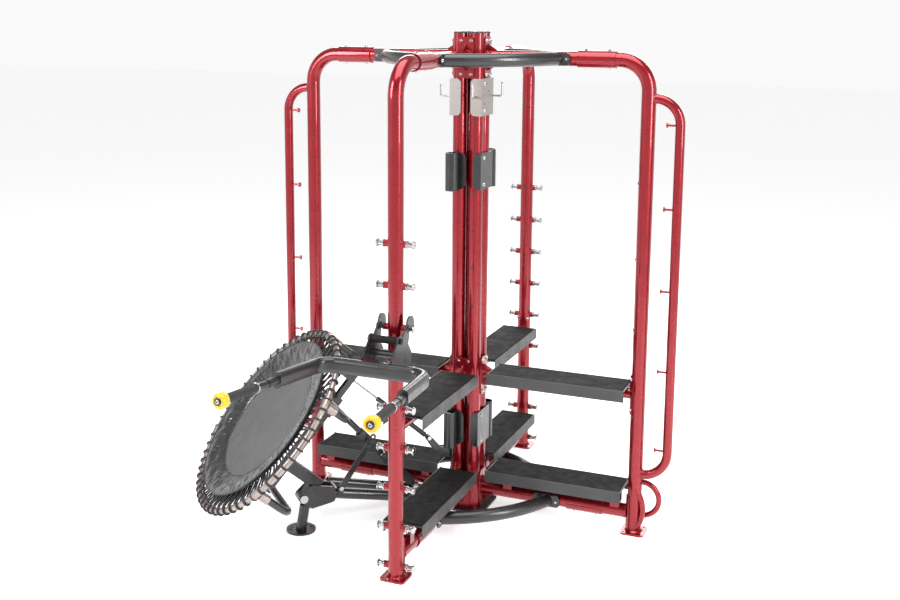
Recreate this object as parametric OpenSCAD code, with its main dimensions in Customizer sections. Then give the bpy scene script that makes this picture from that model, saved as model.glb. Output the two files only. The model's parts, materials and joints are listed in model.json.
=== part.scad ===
// Four-post storage and training frame with a tilting rebounder and a hook-on dip handle.
// Millimetres. The origin is on the floor at the centre line of the column.
// +X points to the right post, +Y to the back post, +Z up.

/* [Frame] */
// Outer diameter of the column, arm and post tubes
tube_d = 76; // [72:0.5:80]
// Wall thickness of the tubes
tube_wall = 3; // [2:0.5:5]
// Distance from the centre line to the left and right posts
reach_x = 962; // [940:1:1000]
// Distance from the centre line to the front and back posts
reach_y = 990; // [970:1:1010]
// Height of the top arms' axis
arm_z = 2528; // [2450:1:2600]
// Height of the top of the column tubes
column_top = 2655; // [2640:1:2800]
// Bend radius of the post elbows, to the tube's centre line
elbow_r = 155; // [120:1:180]
// Half the spacing of the four column tubes
column_half = 47; // [46:0.5:50]
// Distance from the centre line to the middle of the tube splices
splice_at = 690; // [650:1:700]
// Height of the lower beams' axis
base_beam_z = 112; // [110:1:118]
// Diameter of the beams under the upper shelves
shelf_beam_d = 60; // [50:1:62]

/* [Shelves] */
// Height of the upper shelf mats
upper_shelf_z = 814; // [800:1:830]
// Height of the lower shelf mats
lower_shelf_z = 253; // [245:1:260]
// Half the width of a shelf pan
shelf_half_w = 108; // [90:1:112]
// Distance from the centre line to the inner end of a shelf
shelf_inner = 142; // [140:1:150]
// Distance from the centre line to the outer end of a shelf
shelf_outer = 907; // [860:1:910]
// Depth of the lips along a shelf pan
shelf_lip = 58; // [40:1:60]

/* [Pegs and band loops] */
// Height of the lowest storage peg
peg_z = 62; // [60:1:66]
// Spacing of the storage pegs
peg_pitch = 203.2; // [203:0.1:204]
// Number of storage pegs in a column
peg_count = 9; // [7:1:9]
// Diameter of a storage peg's waist
peg_waist_d = 26; // [24:0.5:26]
// Distance from a post's axis to its band loop
loop_reach = 165; // [160:1:175]
// Diameter of the band loop's tube
loop_d = 50; // [45:1:52]
// Height of the top of the band loops
loop_top = 2337; // [2300:1:2345]
// Height of the bottom of the band loops
loop_bottom = 331; // [330:1:350]

/* [Dip handle] */
// Distance from the front post's axis to the handle's cross bar
bar_forward = 240; // [230:1:250]
// Height of the cross bar
bar_z = 1136; // [1130:1:1142]
// Half the distance between the arms where they leave the cross bar
bar_half = 268; // [250:1:280]
// Angle by which each arm spreads outwards
bar_splay = 6; // [4:0.5:8]
// Angle by which the arms rise towards their ends
bar_rise = 3; // [0:0.5:4]
// Diameter of the end wheels
wheel_d = 70; // [60:1:76]

/* [Rebounder] */
// Radius of the ring, to its tube's centre line
ring_r = 535; // [520:1:540]
// Diameter of the ring's tube
ring_d = 32; // [28:1:34]
// Distance from the column's centre line to the ring's centre
ring_out = 1158; // [1150:1:1165]
// Height of the ring's centre
ring_z = 649; // [645:1:655]
// Slope of the ring from level
ring_slope = 49.4; // [49:0.1:50]
// Radius of the jumping mat with its border
mat_r = 430; // [400:1:440]
// inner radius of the vinyl border
hem_in = 336; // [300:1:380]
// outer radius of the vinyl border, which flares up from the mat
hem_out = 462; // [440:1:480]

/* [Hidden] */

$fn = 48;
eps = 0.01;
// Clearance between pieces that lie against each other
gap = 0.2;
// Clearance around pieces that move past each other
run = 0.4;

RED = "#a8132a";
BLACK = "#17181a";
STEEL = "#55585c";
RUBBER = "#262628";
CHROME = "#c9ccd0";

tube_r = tube_d / 2;
column_face = column_half + tube_r;
plate_t = 6;
saddle_t = 8;
saddle_h = 216;
saddle_w = 92;
arm_start = column_face + gap + saddle_t;
post_clamp_t = 7;
foot_t = 10;
foot_w = 128;
foot_l = 134;
splice_l = 200;
splice_t = 6;
shelf_t = 4;
mat_t = 6;
shelf_beam_z = upper_shelf_z - mat_t - shelf_t - shelf_beam_d / 2 - gap;
brace_at = 480;
brace_bow = 60;
brace_d = 70;
// Distance from the end of a brace's tube to its screw
brace_bolt = 58;
loop_bend = 132;
stub_l = 20;
spool_l = 40;
peg_x = tube_r + stub_l;
foot_hole_r = 6;
foot_hole_x = 92;
foot_hole_y = 98;
// The two outer levels at which plates wrap around the column
hook_plate_z = 2318;
holder_z = [475, 1921];
wrap_h = 198;
holder_h = 206;
holder_d = 72;
holder_at = [60, column_face + gap + plate_t + gap + holder_d / 2];
// Each side of the frame: its turn about the column and its reach
SIDES = [[0, reach_x], [90, reach_y], [180, reach_x], [270, reach_y]];
PEG_LEVELS = [for (k = [0 : peg_count - 1]) peg_z + k * peg_pitch];
BAND_LEVELS = [for (k = [0 : 4]) 477 + k * 431.8];

// ---------------------------------------------------------------- shared shapes

module tube_z(h, d = tube_d, wall = tube_wall) {
    difference() {
        cylinder(h = h, d = d);
        translate([0, 0, -1]) cylinder(h = h + 2, d = d - 2 * wall);
    }
}

module tube_x(x0, x1, d = tube_d, wall = tube_wall) {
    translate([x0, 0, 0]) rotate([0, 90, 0]) tube_z(x1 - x0, d, wall);
}

// Tube bent about Z, from the X axis round by an angle
module bend(r, angle, d = tube_d, wall = tube_wall) {
    rotate_extrude(angle = angle, $fn = 96) translate([r, 0]) difference() {
        circle(d = d, $fn = 48);
        circle(d = d - 2 * wall, $fn = 48);
    }
}

// Solid bar between two points in the XZ plane
module bar_xz(p, q, d) {
    v = q - p;
    translate([p[0], 0, p[1]]) rotate([0, 90 - atan2(v[1], v[0]), 0]) cylinder(h = norm(v), d = d);
}

// Hollow tube between two points in the XZ plane
module pipe_xz(p, q, d, wall = tube_wall) {
    v = q - p;
    translate([p[0], 0, p[1]]) rotate([0, 90 - atan2(v[1], v[0]), 0]) tube_z(norm(v), d, wall);
}

module rounded_rect(x, y, r) {
    hull() for (i = [-1, 1], j = [-1, 1]) translate([i * (x / 2 - r), j * (y / 2 - r)]) circle(r, $fn = 24);
}

// The same outline as rounded_rect with true arcs, for plates that carry holes
module round_cornered(x, y, r) {
    square([x - 2 * r, y], center = true);
    square([x, y - 2 * r], center = true);
    for (i = [-1, 1], j = [-1, 1]) translate([i * (x / 2 - r), j * (y / 2 - r)]) circle(r);
}

// Button head screw standing on the XY plane, with a hexagon socket
module screw_head(d = 20, h = 8) {
    difference() {
        cylinder(h = h, d1 = d, d2 = d * 0.66);
        translate([0, 0, h - 4]) cylinder(h = 5, d = d * 0.4, $fn = 6);
    }
}

module at_sides() {
    for (s = SIDES) rotate([0, 0, s[0]]) {
        $reach = s[1];
        children();
    }
}

// ---------------------------------------------------------------- column

module column_tubes() {
    color(RED) for (i = [-1, 1], j = [-1, 1]) translate([i * column_half, j * column_half, foot_t])
        tube_z(column_top - foot_t);
}

module column_caps() {
    color(BLACK) for (i = [-1, 1], j = [-1, 1])
        translate([i * column_half, j * column_half, column_top]) {
            cylinder(h = 5, d = tube_d);
            translate([0, 0, 5]) cylinder(h = 3, d1 = tube_d, d2 = tube_d - 12);
        }
}

// Cross of flat spacers that keeps the four tubes apart
module column_spacers() {
    cross_t = 2 * column_half - tube_d - 2 * gap;
    color(BLACK) for (z = [base_beam_z, shelf_beam_z, arm_z]) translate([0, 0, z - 60])
        linear_extrude(120) {
            square([2 * column_half + 20, cross_t], center = true);
            square([cross_t, 2 * column_half + 20], center = true);
        }
}

module column_base_plate() {
    color(BLACK) linear_extrude(foot_t - gap) difference() {
        round_cornered(270, 270, 24);
        for (i = [-1, 1], j = [-1, 1]) translate([i * 112, j * 112]) circle(foot_hole_r);
    }
}

// Plates bolted to the column's faces, each with a gusset above and below its arm
module column_saddle(d) {
    difference() {
        union() {
            translate([column_face + gap, 0, 0]) rotate([90, 0, 90])
                linear_extrude(saddle_t) round_cornered(saddle_w, saddle_h, 20);
            for (up = [-1, 1]) scale([1, 1, up]) rotate([90, 0, 0]) translate([arm_start, 0, -4])
                linear_extrude(8) polygon([[-1, 0], [46, 0], [46, d / 2 + 6], [-1, d / 2 + 34]]);
        }
        translate([arm_start, 0, 0]) rotate([0, 90, 0]) cylinder(h = 200, d = d + 2 * gap);
        translate([column_face - 1, 0, 0]) rotate([0, 90, 0]) cylinder(h = saddle_t + 3, d = d - 12);
    }
}

module column_saddles() {
    color(RED) at_sides() {
        translate([0, 0, arm_z]) column_saddle(tube_d);
        translate([0, 0, shelf_beam_z]) column_saddle(shelf_beam_d);
        translate([0, 0, base_beam_z]) intersection() {
            column_saddle(tube_d);
            translate([0, -200, foot_t - base_beam_z + gap]) cube([400, 400, 400]);
        }
    }
}

// ---------------------------------------------------------------- posts, arms and beams

module post(side) {
    reach = SIDES[side][1];
    color(RED) rotate([0, 0, SIDES[side][0]]) {
        translate([0, 0, arm_z]) tube_x(splice_at + 1, reach - elbow_r);
        translate([reach - elbow_r, 0, arm_z - elbow_r]) rotate([90, 0, 0]) bend(elbow_r, 90);
        translate([reach, 0, foot_t]) tube_z(arm_z - elbow_r - foot_t);
    }
}

module top_arms() {
    color(RED) at_sides() translate([0, 0, arm_z]) tube_x(arm_start + gap, splice_at - 1);
}

// A pair of half shells clamped over a joint between two tubes
module splice() {
    for (up = [0, 180]) rotate([up, 0, 0]) intersection() {
        rotate([0, 90, 0]) difference() {
            translate([0, 0, -splice_l / 2]) cylinder(h = splice_l, d = tube_d + 2 * (gap + splice_t));
            translate([0, 0, -splice_l / 2 - 1]) cylinder(h = splice_l + 2, d = tube_d + 2 * gap);
        }
        translate([-splice_l, -tube_d, 1.5]) cube([2 * splice_l, 2 * tube_d, tube_d]);
    }
}

module top_splices() {
    color(RED) at_sides() translate([splice_at, 0, arm_z]) splice();
}

module lower_splices() {
    color(RED) at_sides() translate([splice_at, 0, base_beam_z]) splice();
}

// Beam from the column's plate to the half shell on the post
module beam(d) {
    difference() {
        tube_x(arm_start + gap, $reach - tube_r, d);
        translate([$reach, 0, -100]) cylinder(h = 200, r = tube_r + 2 * gap + post_clamp_t);
    }
}

module lower_beams() {
    color(RED) at_sides() translate([0, 0, base_beam_z]) beam(tube_d);
}

module shelf_beams() {
    color(RED) at_sides() translate([0, 0, shelf_beam_z]) beam(shelf_beam_d);
}

module post_saddle(h) {
    rotate([0, 0, 120]) translate([0, 0, -h / 2]) rotate_extrude(angle = 120, $fn = 96)
        translate([tube_r + gap, 0]) square([post_clamp_t, h]);
}

module post_saddles() {
    lower_h = 2 * (base_beam_z - foot_t - 10);
    color(RED) at_sides() translate([$reach, 0, 0]) {
        translate([0, 0, shelf_beam_z]) post_saddle(saddle_h);
        translate([0, 0, base_beam_z]) post_saddle(lower_h);
    }
}

module foot_plates() {
    color(RED) at_sides() translate([$reach, 0, 0]) {
        difference() {
            linear_extrude(foot_t - gap) round_cornered(foot_w, foot_l, 22);
            for (i = [-1, 1], j = [-1, 1])
                translate([i * foot_hole_x / 2, j * foot_hole_y / 2, -1]) cylinder(h = foot_t + 2, r = foot_hole_r);
        }
        translate([0, 0, foot_t - gap - eps]) difference() {
            cylinder(h = 9, d1 = tube_d + 22, d2 = tube_d + 2 * gap + 3);
            translate([0, 0, -1]) cylinder(h = 12, d = tube_d + 2 * gap);
        }
    }
}

// Bowed tube between two neighbouring arms, with a flat pad bolted to each
module brace() {
    side = tube_r + gap;
    pad_t = 10;
    start = side + pad_t;
    chord = (brace_at - start) * sqrt(2);
    r = chord * chord / (8 * brace_bow) + brace_bow / 2;
    apex = (brace_at + start) / sqrt(2) + brace_bow;
    half = asin(chord / 2 / r);
    intersection() {
        rotate([0, 0, 45]) translate([apex - r, 0, 0]) rotate([0, 0, -half - 4]) bend(r, 2 * half + 8, brace_d, 3);
        translate([start - eps, start - eps, -100]) cube([brace_at, brace_at, 200]);
    }
    translate([brace_at, side, 0]) rotate([-90, 0, 0]) linear_extrude(pad_t) round_cornered(152, 66, 20);
    translate([side, brace_at, 0]) rotate([0, 90, 0]) linear_extrude(pad_t) round_cornered(66, 152, 20);
}

module top_braces() {
    color(BLACK) for (a = [0, 90, 180, 270]) rotate([0, 0, a]) translate([0, 0, arm_z]) brace();
}

// The quarter between the left and front posts belongs to the rebounder
module lower_braces() {
    color(BLACK) for (a = [0, 90, 270]) rotate([0, 0, a]) translate([0, 0, base_beam_z]) brace();
}

// ---------------------------------------------------------------- shelves

module shelf_pan(top) {
    w = shelf_half_w;
    rim = mat_t - 0.6;
    translate([shelf_inner, 0, top - mat_t]) rotate([90, 0, 90]) linear_extrude(shelf_outer - shelf_inner)
        polygon([[-w, rim], [-w + shelf_t, rim], [-w + shelf_t, 0], [w - shelf_t, 0], [w - shelf_t, rim],
            [w, rim], [w, -shelf_lip], [w - shelf_t, -shelf_lip], [w - shelf_t, -shelf_t],
            [-w + shelf_t, -shelf_t], [-w + shelf_t, -shelf_lip], [-w, -shelf_lip]]);
}

module shelf_pans() {
    color(STEEL) at_sides() for (z = [lower_shelf_z, upper_shelf_z]) shelf_pan(z);
}

module shelf_mats() {
    mid = (shelf_inner + shelf_outer) / 2;
    color(RUBBER) at_sides() for (z = [lower_shelf_z, upper_shelf_z])
        translate([mid, 0, z - mat_t + gap]) linear_extrude(mat_t - gap)
            round_cornered(shelf_outer - shelf_inner - 24, 2 * (shelf_half_w - shelf_t - 5), 8);
}

// Box stools between the lower beams and the lower shelves
module shelf_stands() {
    bottom = base_beam_z + 20;
    top = lower_shelf_z - mat_t - shelf_t - gap;
    color(RED) at_sides() for (x = [250, 860]) difference() {
        translate([x - 25, -32, bottom]) cube([50, 64, top - bottom]);
        translate([0, 0, base_beam_z]) rotate([0, 90, 0]) cylinder(h = 1200, d = tube_d + 2 * gap);
        translate([x - 30, -27, base_beam_z + tube_r + 8]) cube([60, 54, top - base_beam_z - tube_r - 13]);
    }
}

// ---------------------------------------------------------------- pegs, loops and column fittings

module peg_stubs() {
    color(RED) for (back = [-1, 1], z = PEG_LEVELS, side = [-1, 1])
        translate([0, back * reach_y, z]) rotate([0, side * 90, 0]) difference() {
            cylinder(h = peg_x - gap, d = 34);
            translate([0, 0, -eps]) rotate([0, 90, 0]) translate([0, 0, -40]) cylinder(h = 80, r = tube_r + gap);
        }
}

module peg_spools() {
    color(CHROME) for (back = [-1, 1], z = PEG_LEVELS, side = [-1, 1])
        translate([side * peg_x, back * reach_y, z]) rotate([0, side * 90, 0]) rotate_extrude()
            polygon([[0, 0], [19, 0], [19, 5], [peg_waist_d / 2, 8], [peg_waist_d / 2, spool_l - 10],
                [19, spool_l - 7], [19, spool_l - 2], [17, spool_l], [0, spool_l]]);
}

// Tube handle that stands off a post, its ends fitted to the post's surface
module band_loop() {
    straight = loop_top - loop_bottom - 2 * loop_bend;
    start = reach_x + loop_reach - loop_bend;
    difference() {
        union() {
            translate([start, 0, loop_top - loop_bend]) rotate([90, 0, 0]) bend(loop_bend, 90, loop_d, 3);
            translate([start, 0, loop_bottom + loop_bend]) rotate([90, 0, 0]) rotate([0, 0, -90])
                bend(loop_bend, 90, loop_d, 3);
            translate([reach_x + loop_reach, 0, loop_bottom + loop_bend]) tube_z(straight, loop_d, 3);
        }
        translate([reach_x, 0, 0]) cylinder(h = arm_z, r = tube_r + gap);
    }
}

module band_loops() {
    color(RED) for (a = [0, 180]) rotate([0, 0, a]) band_loop();
}

// Headed pins on the band loops, pointing to the post
module band_pegs() {
    color(RED) for (a = [0, 180], z = BAND_LEVELS) rotate([0, 0, a])
        translate([reach_x + loop_reach, 0, z]) rotate([0, -90, 0]) {
            difference() {
                cylinder(h = loop_d / 2 + 40, d = 12);
                translate([0, 0, -eps]) rotate([0, 90, 0]) translate([0, 0, -30]) cylinder(h = 60, d = loop_d + 2 * gap);
            }
            translate([0, 0, loop_d / 2 + 38]) cylinder(h = 7, d = 26);
        }
}

// Two bent bars for ropes at the foot of the right post
module rope_anchors() {
    bow_z = 136;
    color(RED) difference() {
        union() {
            translate([reach_x - 132, -22, bow_z]) rotate([90, 0, 0]) rotate([0, 0, -42])
                rotate_extrude(angle = 84, $fn = 96) translate([182, 0]) circle(d = 30);
            translate([reach_x + 34, 16, 188]) rotate([90, 0, 0]) rotate([0, 0, -110])
                rotate_extrude(angle = 220, $fn = 96) translate([94, 0]) circle(d = 30);
        }
        cylinder(h = 2 * (foot_t + 1), r = 2000, center = true);
        translate([reach_x, 0, 0]) cylinder(h = 500, r = tube_r + gap);
        cylinder(h = 500, r = reach_x - 4);
        translate([reach_x, 0, 0]) cylinder(h = foot_t + 11, d1 = tube_d + 26, d2 = tube_d + 6);
    }
}

// C-shaped plate around one side of the column; the wings may differ in length
module wrap_plate(near, far, r) {
    inner = column_face + gap;
    outer = inner + plate_t;
    difference() {
        translate([0, 0, -wrap_h / 2]) linear_extrude(wrap_h) difference() {
            union() {
                translate([near, -outer]) square([outer - near, outer]);
                translate([far, 0]) square([outer - far, outer]);
            }
            translate([-200, -inner]) square([inner + 200, 2 * inner]);
        }
        // Rounded corners at the ends of both wings
        for (up = [-1, 1], wing = [[near, -1], [far, 1]])
            translate([wing[0], wing[1] * (outer - 3), up * wrap_h / 2]) scale([1, 1, -up])
                rotate([90, 0, 0]) linear_extrude(20, center = true) difference() {
                    translate([-1, -1]) square(r + 1);
                    translate([r, r]) circle(r);
                }
    }
}

module hook_plates() {
    color(CHROME) for (a = [0, 180]) rotate([0, 0, a]) translate([0, 0, hook_plate_z]) difference() {
        wrap_plate(28, 28, 26);
        for (at = [[-44, -34], [-70, 8], [20, 30]]) translate([column_face - 2, at[0], at[1]])
            rotate([0, 90, 0]) cylinder(h = 20, d = 10);
    }
}

module holder_plates() {
    color(BLACK) for (a = [0, 180], z = holder_z) rotate([0, 0, a]) translate([0, 0, z]) wrap_plate(45, -6, 38);
}

// Rod bent out of its plate and up, with the tip turned in
module hook_rod() {
    reach = 56;
    rod = 12;
    bend_r = 12;
    up = 62;
    rotate([0, 90, 0]) cylinder(h = reach - bend_r, d = rod);
    translate([reach - bend_r, 0, bend_r]) rotate([90, 0, 0]) rotate([0, 0, -90])
        rotate_extrude(angle = 90) translate([bend_r, 0]) circle(d = rod);
    translate([reach, 0, bend_r]) cylinder(h = up - bend_r, d = rod);
    translate([reach - bend_r, 0, up]) rotate([90, 0, 0])
        rotate_extrude(angle = 50) translate([bend_r, 0]) circle(d = rod);
}

module hook_rods() {
    outer = column_face + 2 * gap + plate_t;
    color(CHROME) for (a = [0, 180]) rotate([0, 0, a]) {
        translate([outer, 76, hook_plate_z + 2]) hook_rod();
        translate([60, -outer, hook_plate_z + 2]) rotate([0, 0, -90]) hook_rod();
    }
}

module bar_holders() {
    color(BLACK) for (a = [0, 180], z = holder_z) rotate([0, 0, a])
        translate([holder_at[0], holder_at[1], z - holder_h / 2]) {
            tube_z(holder_h, holder_d, 4);
            cylinder(h = 5, d = holder_d - 1);
        }
}

// ---------------------------------------------------------------- screws and plugs

module frame_bolts() {
    saddle_bolt = saddle_h / 2 - 20;
    splice_r = tube_r + 2 * gap + splice_t;
    clamp_r = tube_r + 2 * gap + post_clamp_t;
    brace_side = tube_r + gap + 10;
    color(CHROME) at_sides() {
        for (z = [arm_z, shelf_beam_z], up = [-1, 1])
            translate([arm_start, 0, z + up * saddle_bolt]) for (j = [-1, 1])
                translate([0, j * 28, 0]) rotate([0, 90, 0]) screw_head();
        for (z = [arm_z, base_beam_z], i = [-1, 1], up = [0, 180])
            translate([splice_at + i * 62, 0, z]) rotate([up, 0, 0]) translate([0, 0, splice_r]) screw_head(18);
        for (up = [-1, 1], j = [-1, 1])
            translate([$reach, 0, shelf_beam_z + up * 84]) rotate([0, 0, 180 + j * 42]) rotate([0, 90, 0])
                translate([0, 0, clamp_r]) screw_head(18);
        for (j = [-1, 1]) translate([brace_at + brace_bolt, j * brace_side, arm_z]) rotate([-j * 90, 0, 0]) screw_head();
    }
    color(CHROME) for (a = [0, 90, 270]) rotate([0, 0, a]) {
        translate([brace_at + brace_bolt, brace_side, base_beam_z]) rotate([-90, 0, 0]) screw_head();
        translate([brace_side, brace_at + brace_bolt, base_beam_z]) rotate([0, 90, 0]) screw_head();
    }
}

module bracket_bolts() {
    outer = column_face + 2 * gap + plate_t;
    color(CHROME) for (a = [0, 180], z = concat(holder_z, [hook_plate_z]), up = [-1, 1])
        rotate([0, 0, a]) translate([outer, -44, z + up * 72]) rotate([0, 90, 0]) screw_head(22);
}

// Plastic plugs in the unused holes of the posts and the column
module tube_plugs() {
    color(BLACK) {
        for (z = [1180, 1390, 1600, 1810, 2020, 2196]) translate([column_half, -column_face - gap, z])
            rotate([90, 0, 0]) cylinder(h = 3, d1 = 16, d2 = 12);
        for (s = [1, 3], z = [1200, 1700, 2200]) rotate([0, 0, SIDES[s][0]])
            translate([SIDES[s][1] - tube_r - gap, 0, z]) rotate([0, -90, 0]) cylinder(h = 3, d1 = 16, d2 = 12);
        for (z = [1120, 1500, 1900]) translate([reach_x - tube_r - gap, 0, z])
            rotate([0, -90, 0]) cylinder(h = 3, d1 = 16, d2 = 12);
    }
}

// ---------------------------------------------------------------- rebounder base
// Drawn with X away from the column, then turned into the front left quarter.

module in_quarter() {
    rotate([0, 0, 225]) children();
}

pivot = [978, 190];
pivot_r = 12;
gusset_y = 38;
beam_end = [808, 186];
beam_start = [150, 52];
side_beam_y = -150;
strut_foot = [330, 166];
prop_foot = [770, 222];
spring_foot = [244, 424];
base_tube_d = 60;

// Outline of the plates that carry the pivot
module gusset_outline() {
    hull() {
        translate(pivot) circle(26, $fn = 32);
        translate([930, 236]) circle(24, $fn = 32);
        translate([824, 214]) circle(24, $fn = 32);
        translate([824, 172]) circle(24, $fn = 32);
        translate([930, 150]) circle(20, $fn = 32);
    }
}

module pivot_gussets() {
    color(BLACK) in_quarter() for (side = [-1, 1])
        translate([0, side * gusset_y + 4, 0]) rotate([90, 0, 0]) difference() {
            linear_extrude(8) gusset_outline();
            translate([pivot[0], pivot[1], -1]) cylinder(h = 10, r = pivot_r + gap);
        }
}

module pivot_pin() {
    color(CHROME) in_quarter() translate([pivot[0], 0, pivot[1]]) rotate([90, 0, 0]) {
        translate([0, 0, -gusset_y - 8]) cylinder(h = 2 * gusset_y + 16, r = pivot_r);
        for (side = [0, 180]) rotate([side, 0, 0]) translate([0, 0, gusset_y + 4 + gap]) cylinder(h = 7, r = 22);
    }
}

// Pins at the feet of the strut, the prop and the gas spring, and the spring's bracket
module linkage_pins() {
    color(CHROME) in_quarter() {
        translate([strut_foot[0], 0, strut_foot[1]]) rotate([90, 0, 0]) {
            translate([0, 0, -34]) cylinder(h = 68, r = 8);
            for (side = [0, 180]) rotate([side, 0, 0]) translate([0, 0, 28 + gap]) cylinder(h = 7, r = 14);
        }
        translate([prop_foot[0], 0, prop_foot[1]]) rotate([90, 0, 0]) {
            translate([0, 0, -56]) cylinder(h = 34, r = 7);
            translate([0, 0, -56]) cylinder(h = 7, r = 12);
        }
        translate([spring_foot[0], 0, spring_foot[1]]) rotate([90, 0, 0]) {
            translate([0, 0, -22]) cylinder(h = 44, r = 6);
            for (side = [0, 180]) rotate([side, 0, 0]) translate([0, 0, 16 + gap]) cylinder(h = 6, r = 11);
        }
    }
}

module spring_bracket() {
    start = column_half * sqrt(2) + tube_r + gap;
    translate([start, -30, 290]) cube([8, 60, 78]);
    for (side = [-1, 1]) translate([0, side * 13 + 3, 0]) rotate([90, 0, 0]) linear_extrude(6) difference() {
        union() {
            translate(spring_foot) circle(15);
            polygon([[start + 7, 298], [start + 7, 362], [172, 364], [232, 433], [257, 417], [200, 330],
                [150, 298]]);
        }
        translate(spring_foot) circle(6 + gap);
    }
}

module rebounder_base() {
    cross_x = 780;
    color(BLACK) in_quarter() spring_bracket();
    color(BLACK) in_quarter() difference() {
        union() {
            pipe_xz(beam_start, beam_end, base_tube_d);
            translate([0, side_beam_y, 0]) pipe_xz(beam_start - [0, 10], beam_end + [-20, 4], base_tube_d - 6);
            translate([cross_x, 0, 180]) rotate([90, 0, 0]) cylinder(h = -side_beam_y, d = 44);
            // Lug for the strut's foot
            for (side = [-1, 1]) translate([strut_foot[0], side * 24 + 4, strut_foot[1]]) rotate([90, 0, 0])
                linear_extrude(8) difference() {
                    union() {
                        circle(20);
                        translate([-20, -66]) square([40, 66]);
                    }
                    circle(8 + gap);
                }
            // Lug for the prop's foot
            translate([prop_foot[0], 34, 0]) rotate([90, 0, 0]) linear_extrude(14) difference() {
                union() {
                    translate([0, prop_foot[1]]) circle(16);
                    translate([-16, 176]) square([32, prop_foot[1] - 176]);
                }
                translate([0, prop_foot[1]]) circle(7 + gap);
            }
            // Foot of both beams on the column's base
            translate([128, side_beam_y - 20, foot_t]) cube([60, -side_beam_y + 46, 16]);
            translate([138, -24, foot_t]) cube([40, 48, 50]);
            translate([138, side_beam_y - 20, foot_t]) cube([40, 40, 50]);
        }
        translate([0, 0, foot_t + gap - 100]) cylinder(h = 100, r = 1500);
        // Room for the gussets and the lever between them
        translate([812, -gusset_y - 5, 100]) cube([300, 2 * gusset_y + 10, 200]);
        for (side = [-1, 1]) translate([780, side * gusset_y - 4 - gap, 100]) cube([300, 8 + 2 * gap, 200]);
    }
}

module rebounder_foot() {
    top_z = 158;
    color(BLACK) in_quarter() difference() {
        union() {
            cylinder_foot();
            pipe_xz([984, foot_t - 2], [958, top_z], 56, 4);
        }
        for (i = [-1, 1]) translate([984 + i * 56, 0, -1]) cylinder(h = foot_t + 2, r = 7);
        // The post's top is cut to fit between the gussets
        for (side = [-1, 1]) translate([880, side * gusset_y - 4 - gap, 120]) cube([200, 8 + 2 * gap, 100]);
        translate([pivot[0], 50, pivot[1]]) rotate([90, 0, 0]) cylinder(h = 100, r = 46);
    }
}

module cylinder_foot() {
    translate([984, 0, 0]) cylinder(h = foot_t, d = 158);
}

// ---------------------------------------------------------------- dip handle
// Drawn with X along the post's side, Y towards the post and the post's axis at the origin.

module at_front_post() {
    translate([0, -reach_y, 0]) children();
}

hook_x = peg_x + 16;
plate_w = 8;
handle_peg_z = peg_z + 6 * peg_pitch;
oval_h = 76;
oval_w = 50;
arm_len = 362;
socket_l = 150;
collar_l = 10;
grip_l = 205;
grip_d = 42;
bar_bend = 85;

// Outline of a side plate: forward distance from the post's axis, height above the hook peg
module side_plate_outline() {
    difference() {
        union() {
            translate([0, 22]) circle(42);
            polygon([[-42, 22], [-42, -16], [-24, -16], [-12, 0], [42, 22]]);
            polygon([[10, 52], [42, 22], [72, -4], [98, -28], [100, -60], [30, -70], [14, -30], [14, 20]]);
            polygon([[92, -30], [126, -10], [146, -34], [221, -100], [221, -178], [-10, -178], [-10, -110],
                [28, -66]]);
            translate([122, -30]) circle(24);
        }
        // Slot that drops over the peg
        translate([0, 0.6]) circle(peg_waist_d / 2 + 0.6);
        translate([-peg_waist_d / 2 - 0.6, -80]) square([peg_waist_d + 1.2, 80]);
        translate([-60, -104]) square([60, 76]);
        hull() for (s = [-1, 1]) translate([72 + s * 4, -126 + s * 16]) circle(8, $fn = 24);
        translate([122, -30]) circle(8);
    }
}

module handle_plates() {
    color(BLACK) at_front_post() for (side = [-1, 1]) translate([side * hook_x - plate_w / 2, 0, handle_peg_z])
        rotate([90, 0, -90]) translate([0, 0, -plate_w]) linear_extrude(plate_w) side_plate_outline();
}

// Flat-sided tube section
module oval() {
    difference() {
        union() {
            square([oval_w, oval_h - oval_w], center = true);
            for (up = [-1, 1]) translate([0, up * (oval_h - oval_w) / 2]) circle(d = oval_w);
        }
        square([oval_w - 8, oval_h - oval_w], center = true);
        for (up = [-1, 1]) translate([0, up * (oval_h - oval_w) / 2]) circle(d = oval_w - 8);
    }
}

// Places children on the handle's plane: X along the cross bar, Y forward along the arms
module on_bar() {
    at_front_post() translate([0, -bar_forward, bar_z]) rotate([-bar_rise, 0, 0]) rotate([0, 0, 180]) children();
}

// Places children on an arm's axis, Z pointing along the arm from the corner of the bar
module on_arm(side) {
    on_bar() translate([-side * bar_half, 0, 0]) rotate([0, 0, side * bar_splay]) rotate([-90, 0, 0]) children();
}

module handle_bar() {
    turn = 90 - bar_splay;
    tangent = bar_bend * tan(turn / 2);
    // Hairline between the straight lengths and the bends
    seam = 0.1;
    color(BLACK) {
        on_bar() {
            translate([-bar_half + tangent + seam, 0, 0]) rotate([90, 0, 90])
                linear_extrude(2 * (bar_half - tangent - seam)) oval();
            for (side = [-1, 1]) scale([side, 1, 1]) translate([bar_half - tangent, bar_bend, 0])
                rotate([0, 0, -90]) rotate_extrude(angle = turn, $fn = 96) translate([bar_bend, 0]) oval();
        }
        for (side = [-1, 1]) on_arm(side) translate([0, 0, tangent + seam])
            linear_extrude(arm_len - tangent - seam) oval();
        for (side = [-1, 1]) on_arm(side) translate([0, 0, arm_len]) linear_extrude(5) difference() {
            union() {
                square([oval_w, oval_h - oval_w], center = true);
                for (up = [-1, 1]) translate([0, up * (oval_h - oval_w) / 2]) circle(d = oval_w);
            }
            circle(d = 34);
        }
    }
}

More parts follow.
